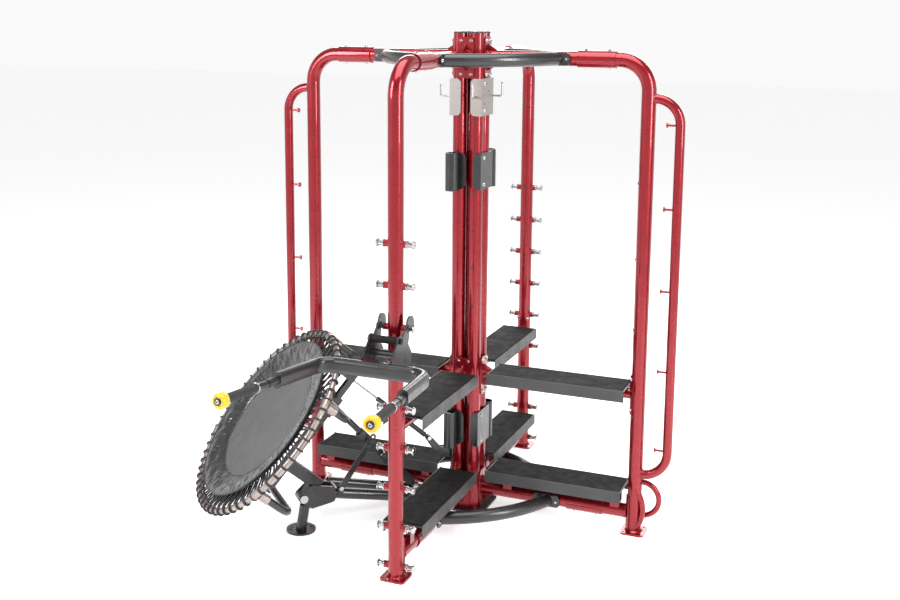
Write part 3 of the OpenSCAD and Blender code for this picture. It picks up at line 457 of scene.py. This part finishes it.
def skin(bm, loops, closed=True):
    """Faces between neighbouring loops, and between the last and the first if closed."""
    count, sides = len(loops), len(loops[0])
    for i in range(count if closed else count - 1):
        here, there = loops[i], loops[(i + 1) % count]
        for k in range(sides):
            m = (k + 1) % sides
            bm.faces.new((here[k], here[m], there[m], there[k]))


def turned_side(side, along):
    """The last loop's side brought square to a new direction, so that a tube doesn't twist."""
    if side is None:
        side = along.orthogonal()
    side = side.normalized()
    return (side - along * side.dot(along)).normalized()


def add_tube(bm, points, radius, sides=8, closed=True):
    """Round tube along a list of points, added to a bmesh."""
    count = len(points)
    loops = []
    side = None
    for i, point in enumerate(points):
        before = points[i - 1] if closed or i else point
        after = points[(i + 1) % count] if closed or i < count - 1 else point
        along = (after - before).normalized()
        side = turned_side(side, along)
        loops.append(add_loop(bm, point, along, side, radius, sides))
    skin(bm, loops, closed)
    if not closed:
        bm.faces.new(loops[0][::-1])
        bm.faces.new(loops[-1])


BEAD_SIDES = 6
BEAD_NECK = 0.72


def add_bead(bm, points, radius):
    """Rippled tube along a closed line, like a row of overlapping weld drops."""
    loops = []
    side = None
    for i, here in enumerate(points):
        there = points[(i + 1) % len(points)]
        along = (there - points[i - 1]).normalized()
        for share, width in ((0.0, BEAD_NECK), (0.5, 1.0)):
            side = turned_side(side, along)
            loops.append(add_loop(bm, here.lerp(there, share), along, side, radius * width,
                                  BEAD_SIDES))
    skin(bm, loops)


# ---------------------------------------------------------------- weld beads

WELD_R = 0.0032
WELD_STEP = 0.0042
PEG_WELD_R = 0.8 * WELD_R


def circle_in_yz(x, radius):
    count = round(TAU * radius / WELD_STEP)
    return [Vector((x, radius * math.cos(TAU * i / count), radius * math.sin(TAU * i / count)))
            for i in range(count)]


def saddle_line(post_x, radius, z, outwards):
    """Where a level tube of this radius meets a post standing at post_x."""
    count = round(TAU * radius / WELD_STEP)
    line = []
    for i in range(count):
        y = radius * math.cos(TAU * i / count)
        x = post_x + outwards * math.sqrt(TUBE_R ** 2 - y ** 2)
        line.append(Vector((x, y, z + radius * math.sin(TAU * i / count))))
    return line


def make_welds():
    """Beads at the arms, shelf beams and band loops, then at the stubs of the pegs."""
    bm = bmesh.new()
    for degrees, reach in SIDES:
        part_bm = bmesh.new()
        for z, radius in ((ARM_Z, TUBE_R), (SHELF_BEAM_Z, SHELF_BEAM_R)):
            ring = [p + Vector((0, 0, z)) for p in circle_in_yz(ARM_START + 0.001, radius)]
            add_bead(part_bm, ring, WELD_R)
        if degrees in (0, 180):
            for z in LOOP_Z:
                add_bead(part_bm, saddle_line(reach, LOOP_R, z, 1), WELD_R)
        part_bm.transform(turned_z(degrees))
        scratch = bpy.data.meshes.new("scratch")
        part_bm.to_mesh(scratch)
        bm.from_mesh(scratch)
        bpy.data.meshes.remove(scratch)
        part_bm.free()
    add_object("frame_welds", bm, WELD_RED, Matrix(), "frame")

    bm = bmesh.new()
    for degrees, reach in SIDES[1::2]:
        for level in range(PEG_COUNT):
            for side in (-1, 1):
                z = PEG_Z + level * PEG_PITCH
                line = saddle_line(0, STUB_R, z, side)
                move = Vector((0, reach if degrees == 90 else -reach, 0))
                add_bead(bm, [p + move for p in line], PEG_WELD_R)
    add_object("peg_welds", bm, WELD_RED, Matrix(), "frame")


make_welds()

# ---------------------------------------------------------------- rebounder

MAT_SAG = 0.010
MAT_HALF = 0.0016
SEAM_RADII = (0.331, 0.324)


def polar(r, angle, z=0.0):
    return Vector((r * math.cos(angle), r * math.sin(angle), z))


def mat_height(r):
    return -MAT_SAG * max(0.0, 1 - (r / MAT_R) ** 2)


def make_mat():
    """Thin woven disc that hangs a little in its middle."""
    bm = bmesh.new()
    rings, segments = 26, 144
    radii = [MAT_R * (i / rings) for i in range(1, rings + 1)]
    faces = []
    for side in (1, -1):
        centre = bm.verts.new((0, 0, mat_height(0) + side * MAT_HALF))
        grid = []
        for r in radii:
            row = []
            for k in range(segments):
                a = TAU * k / segments
                ripple = 0.0006 * noise.noise(polar(r, a) * 9)
                row.append(bm.verts.new(polar(r, a, mat_height(r) + ripple + side * MAT_HALF)))
            grid.append(row)
        for k in range(segments):
            m = (k + 1) % segments
            bm.faces.new((centre, grid[0][k], grid[0][m]))
            for lower, upper in zip(grid, grid[1:]):
                bm.faces.new((lower[k], upper[k], upper[m], lower[m]))
        faces.append(grid[-1])
    for k in range(segments):
        m = (k + 1) % segments
        bm.faces.new((faces[0][k], faces[1][k], faces[1][m], faces[0][m]))
    mat = add_object("jumping_mat", bm, MAT, ON_RING, "rebounder")
    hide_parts("rebounder_mat")
    return mat


def hem_share(r):
    """0 at the border's inner edge, 1 at its outer edge."""
    return min(max((r - HEM_IN) / (HEM_OUT - HEM_IN), 0.0), 1.0)


def hem_floor(r):
    """Height of the border's underside: it flares up and away from the mat."""
    return 0.0024 + mat_height(HEM_IN) + HEM_RISE * hem_share(r) ** 0.85


def hem_top(r, angle):
    """Height of the border's wrinkled top over its underside."""
    t = hem_share(r)
    crown = 0.0060 * math.sin(math.pi * min(max(t, 0.02), 0.98)) ** 0.6
    around = Vector((math.cos(angle), math.sin(angle), 0))
    long_folds = noise.noise(around * 6 + Vector((0, 0, t * 3.0)))
    creases = 1 - abs(noise.noise(around * 13 + Vector((0, 3.1, t * 2.6)))) * 2.4
    short_folds = noise.noise(around * 30 + Vector((0, 0, t * 1.6)))
    fade = math.sin(math.pi * t) ** 0.7
    return crown + fade * (0.0060 * long_folds + 0.0030 * creases ** 3 + 0.0018 * short_folds)


def make_hem():
    """Padded vinyl border over the mat's edge, wrinkled by the pull of the loops."""
    bm = bmesh.new()
    across, segments = 26, 720
    top, under = [], []
    for i in range(across + 1):
        r = HEM_IN + (HEM_OUT - HEM_IN) * i / across
        floor = hem_floor(r)
        angles = [TAU * k / segments for k in range(segments)]
        top.append([bm.verts.new(polar(r, a, floor + max(hem_top(r, a), 0.0012)))
                    for a in angles])
        under.append([bm.verts.new(polar(r, a, floor)) for a in angles])
    for k in range(segments):
        m = (k + 1) % segments
        for i in range(across):
            bm.faces.new((top[i][k], top[i + 1][k], top[i + 1][m], top[i][m]))
            bm.faces.new((under[i][k], under[i][m], under[i + 1][m], under[i + 1][k]))
        bm.faces.new((top[0][k], top[0][m], under[0][m], under[0][k]))
        bm.faces.new((top[-1][m], top[-1][k], under[-1][k], under[-1][m]))
    hem = add_object("mat_border", bm, VINYL, ON_RING, "rebounder")
    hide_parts("mat_hem")

    bm = bmesh.new()
    for r, radius in ((HEM_OUT + 0.001, 0.0036), (HEM_IN - 0.001, 0.0028)):
        points = [polar(r, TAU * k / 288, hem_floor(r)) for k in range(288)]
        add_tube(bm, points, radius)
    piping = add_object("border_piping", bm, BRAID, ON_RING, "rebounder")
    return hem, piping


def make_seams():
    """Two rows of stitches inside the border."""
    bm = bmesh.new()
    for r in SEAM_RADII:
        count = round(TAU * r / 0.0062)
        for k in range(count):
            angles = [TAU * (k + f) / count for f in (0.08, 0.5, 0.92)]
            lift = (0.0002, 0.0012, 0.0002)
            points = [polar(r, a, mat_height(r) + MAT_HALF + h) for a, h in zip(angles, lift)]
            add_tube(bm, points, 0.0009, 5, closed=False)
    return add_object("mat_stitches", bm, THREAD, ON_RING, "rebounder")


def loop_points(angle):
    """One elastic loop: from the mat's edge, once round the ring's tube and back."""
    spread = TAU / BUNGEE_COUNT * 0.26
    wrap = RING_TUBE_R + BUNGEE_R + 0.0004
    mat_end = MAT_R - 0.014
    points = []
    for k in range(4):
        t = k / 4
        r = mat_end + (RING_R - 0.010 - mat_end) * t
        z = -0.006 + (wrap + 0.004) * t ** 1.3
        points.append(polar(r, angle - spread * (1 - t), z))
    turns = 14
    for k in range(turns + 1):
        phi = math.radians(100) - math.radians(290) * k / turns
        r = RING_R + wrap * math.cos(phi)
        drift = BUNGEE_R * 0.35 * (k / turns * 2 - 1)
        points.append(polar(r, angle + drift / RING_R, wrap * math.sin(phi)))
    for k in range(1, 5):
        t = k / 4
        start = points[4 + turns]
        r0 = math.hypot(start.x, start.y)
        r = r0 + (mat_end - r0) * t
        z = start.z + (-0.006 - start.z) * t
        points.append(polar(r, angle + spread * t, z))
    return points


def smooth(points):
    """Rounds a closed line by cutting its corners."""
    out = []
    for i, point in enumerate(points):
        after = points[(i + 1) % len(points)]
        out += [point.lerp(after, 0.25), point.lerp(after, 0.75)]
    return out


def make_bungees():
    """All the elastic loops between the mat and the ring."""
    bm = bmesh.new()
    for k in range(BUNGEE_COUNT):
        add_tube(bm, smooth(loop_points(TAU * (k + 0.5) / BUNGEE_COUNT)), BUNGEE_R, 8)
    loops = add_object("bungee_loops", bm, BRAID, ON_RING, "rebounder")
    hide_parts("rebounder_bungees")


mat = make_mat()
hem, piping = make_hem()
seams = make_seams()
make_bungees()

# ---------------------------------------------------------------- grips and wheels


def make_grip(side, word):
    """Ribbed rubber sleeve and the chrome collar at its inner end."""
    inner = SPINDLE_R + 0.0002
    place = on_arm(side) @ Matrix.Translation((0, 0, GRIP_START))
    collar = [(inner, 0), (0.024, 0), (0.024, COLLAR_LEN - 0.0004), (inner, COLLAR_LEN - 0.0004)]
    add_object("grip_collar_" + word, lathe(rounded(collar, 0.0022)), CHROME, place,
               "grip_" + word[0])
    profile = [(inner, COLLAR_LEN), (0.0205, COLLAR_LEN), (0.0225, COLLAR_LEN + 0.002),
               (0.0225, COLLAR_LEN + 0.007)]
    ribs = 34
    start, end = COLLAR_LEN + 0.010, COLLAR_LEN + GRIP_LEN - 0.010
    for k in range(ribs):
        z = start + (end - start) * k / ribs
        step = (end - start) / ribs
        profile += [(GRIP_R - 0.0011, z), (GRIP_R - 0.0001, z + 0.25 * step),
                    (GRIP_R - 0.0001, z + 0.75 * step)]
    profile += [(0.0222, end + 0.001), (0.0222, COLLAR_LEN + GRIP_LEN - 0.002),
                (0.0200, COLLAR_LEN + GRIP_LEN), (inner, COLLAR_LEN + GRIP_LEN)]
    sleeve = add_object("grip_sleeve_" + word, lathe(profile, 72), GRIP, place,
                        "grip_" + word[0])
    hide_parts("grip_" + word)


def make_wheel(side, word):
    """Yellow tyre with a groove round it, on a chrome hub."""
    start = GRIP_START + COLLAR_LEN + GRIP_LEN + WHEEL_GAP
    place = on_arm(side) @ Matrix.Translation((0, 0, start))
    body = "wheel_" + word[0]
    tyre = [(0.0185, 0.004), (0.022, 0.001), (0.026, 0.001), (WHEEL_R - 0.002, 0.007),
            (WHEEL_R, 0.013), (WHEEL_R, 0.020), (WHEEL_R - 0.0008, 0.0215), (WHEEL_R, 0.023),
            (WHEEL_R, 0.039), (WHEEL_R - 0.003, 0.045), (0.028, 0.049), (0.0225, 0.049),
            (0.0185, 0.046)]
    tyre_obj = add_object("wheel_tyre_" + word, lathe(rounded(tyre, 0.0012), 96), YELLOW, place,
                          body)
    hub = [(0.0104, 0.002), (0.0182, 0.002), (0.0182, 0.041), (0.0160, 0.0425), (0.0104, 0.0425)]
    add_object("wheel_hub_" + word, lathe(rounded(hub, 0.0010), 48), CHROME, place, body)
    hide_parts("end_wheel_" + word)


def make_spindle_bolt(side, word):
    """Socket screw in the end of a spindle, seen in the middle of the wheel."""
    place = on_arm(side) @ Matrix.Translation((0, 0, SPINDLE_END))
    head = [(0.0036, 0.0), (0.0094, 0.0), (0.0094, 0.0026), (0.0072, 0.0044), (0.0036, 0.0044)]
    add_object("spindle_bolt_" + word, lathe(rounded(head, 0.0006), 48), CHROME, place,
               "handle")


for arm_side, arm_word in ((-1, "left"), (1, "right")):
    make_grip(arm_side, arm_word)
    make_wheel(arm_side, arm_word)
    make_spindle_bolt(arm_side, arm_word)

# ---------------------------------------------------------------- camera, floor and lights


CAMERA_PLACE = (2.2626, -5.9771, 2.7737)
CAMERA_YAW = 0.3971
CAMERA_PITCH = -0.1722
CAMERA_ROLL = 0.0044
FLOOR_HALF = 40
FLOOR_GLOW = 0.58


def make_camera():
    data = bpy.data.cameras.new("camera")
    data.lens = 47.3
    data.sensor_width = 36.0
    data.shift_x = 0.023
    data.shift_y = -0.0935
    camera = bpy.data.objects.new("camera", data)
    camera.matrix_world = (Matrix.Translation(CAMERA_PLACE)
                           @ Matrix.Rotation(CAMERA_YAW, 4, "Z")
                           @ Matrix.Rotation(math.pi / 2 + CAMERA_PITCH, 4, "X")
                           @ Matrix.Rotation(CAMERA_ROLL, 4, "Z"))
    bpy.context.scene.collection.objects.link(camera)
    bpy.context.scene.camera = camera


def make_floor():
    """Pale floor that glows a little, like a light table, so that shadows stay faint."""
    bm = bmesh.new()
    bmesh.ops.create_grid(bm, x_segments=8, y_segments=8, size=FLOOR_HALF)
    mesh = bpy.data.meshes.new("floor")
    bm.to_mesh(mesh)
    bm.free()
    s = Shader("floor_white", (0.90, 0.90, 0.90), 0.0, 0.6)
    s.color(s.blend(s.noise(0.7, 2.0), (0.89, 0.89, 0.89), (0.92, 0.92, 0.92)))
    s.set("Emission Color", (1.0, 1.0, 1.0, 1.0))
    s.set("Emission Strength", FLOOR_GLOW)
    mesh.materials.append(s.material)
    floor = bpy.data.objects.new("floor", mesh)
    floor.location.z = -0.0005
    bpy.context.scene.collection.objects.link(floor)


def make_area_light(name, place, target, size, power):
    data = bpy.data.lights.new(name, "AREA")
    data.shape = "RECTANGLE"
    data.size, data.size_y = size
    data.energy = power
    light = bpy.data.objects.new(name, data)
    light.location = place
    light.rotation_euler = (Vector(target) - Vector(place)).to_track_quat("-Z", "Y").to_euler()
    bpy.context.scene.collection.objects.link(light)


def make_world():
    """Pale all round at the horizon and dimmer overhead."""
    world = bpy.data.worlds.new("studio")
    world.use_nodes = True
    background = world.node_tree.nodes["Background"]
    background.inputs["Color"].default_value = (1.0, 1.0, 1.0, 1.0)
    coords = world.node_tree.nodes.new("ShaderNodeTexCoord")
    height = world.node_tree.nodes.new("ShaderNodeSeparateXYZ")
    fall = world.node_tree.nodes.new("ShaderNodeMapRange")
    for socket, number in (("From Min", 0.14), ("From Max", 0.42), ("To Min", 0.95),
                           ("To Max", 0.30)):
        fall.inputs[socket].default_value = number
    world.node_tree.links.new(coords.outputs["Generated"], height.inputs["Vector"])
    world.node_tree.links.new(height.outputs["Z"], fall.inputs["Value"])
    world.node_tree.links.new(fall.outputs["Result"], background.inputs["Strength"])
    bpy.context.scene.world = world


bpy.context.scene.view_settings.view_transform = "Standard"
make_camera()
make_floor()
make_world()
make_area_light("key", (-4.0, -5.0, 4.2), (0, 0, 1.2), (1.6, 3.6), 300)
make_area_light("side", (5.2, -2.0, 3.2), (0, 0, 1.2), (1.2, 3.6), 220)
make_area_light("top", (0.5, -1.0, 6.5), (0, 0, 1.0), (5.0, 5.0), 360)
make_area_light("back", (-1.5, 6.0, 3.5), (0, 0, 1.2), (5.0, 3.0), 200)
